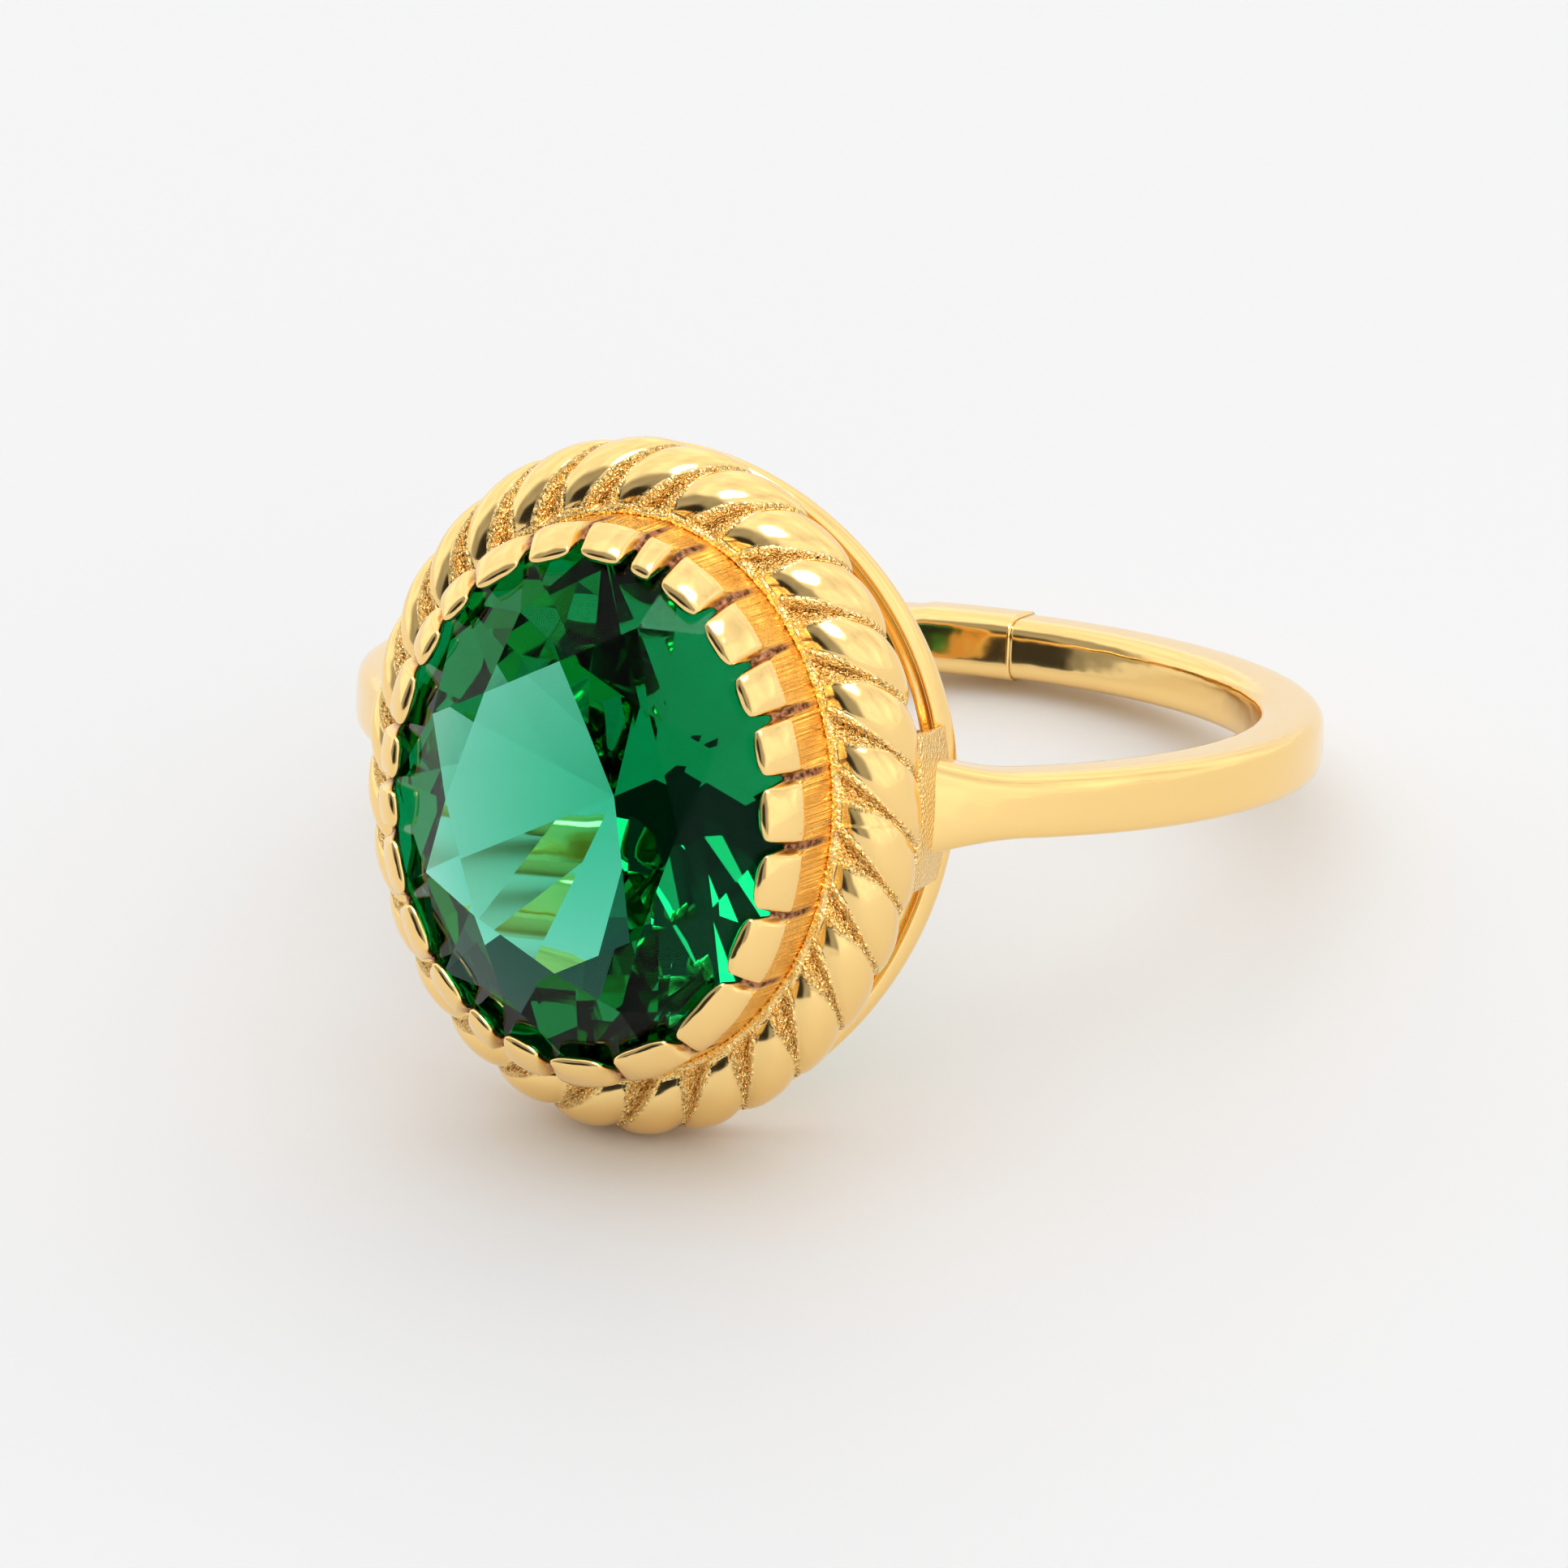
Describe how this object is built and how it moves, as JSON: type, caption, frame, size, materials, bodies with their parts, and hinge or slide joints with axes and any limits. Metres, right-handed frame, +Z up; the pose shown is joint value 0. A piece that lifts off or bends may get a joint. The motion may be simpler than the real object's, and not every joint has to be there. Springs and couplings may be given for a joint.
{
  "type": "cocktail ring",
  "caption": "Gold-coloured finger ring with an oval faceted green stone in a serrated bezel, ringed by a twisted rope border on an open gallery.",
  "frame": {"origin": "centre of the bounding box at the surface the ring lies on", "axes": "+Z up from that surface; the stone faces -Y and upwards by the resting tilt; +X across the head; the finger's axis runs in the YZ plane, tilted from +Z towards +Y"},
  "size_m": [0.0186, 0.0218, 0.0128],
  "materials": {
    "green_stone": "faceted and polished",
    "yellow_gold": "polished cast yellow gold"
  },
  "bodies": {
    "root": {"oval_stone": "green_stone", "serrated_bezel": "yellow_gold", "stone_bearing": "yellow_gold", "rope_border": "yellow_gold", "frame_plate": "yellow_gold", "gallery_rail": "yellow_gold", "shoulder_support_right": "yellow_gold", "shoulder_support_left": "yellow_gold", "shank_right": "yellow_gold", "shank_left": "yellow_gold"}
  },
  "joints": []
}
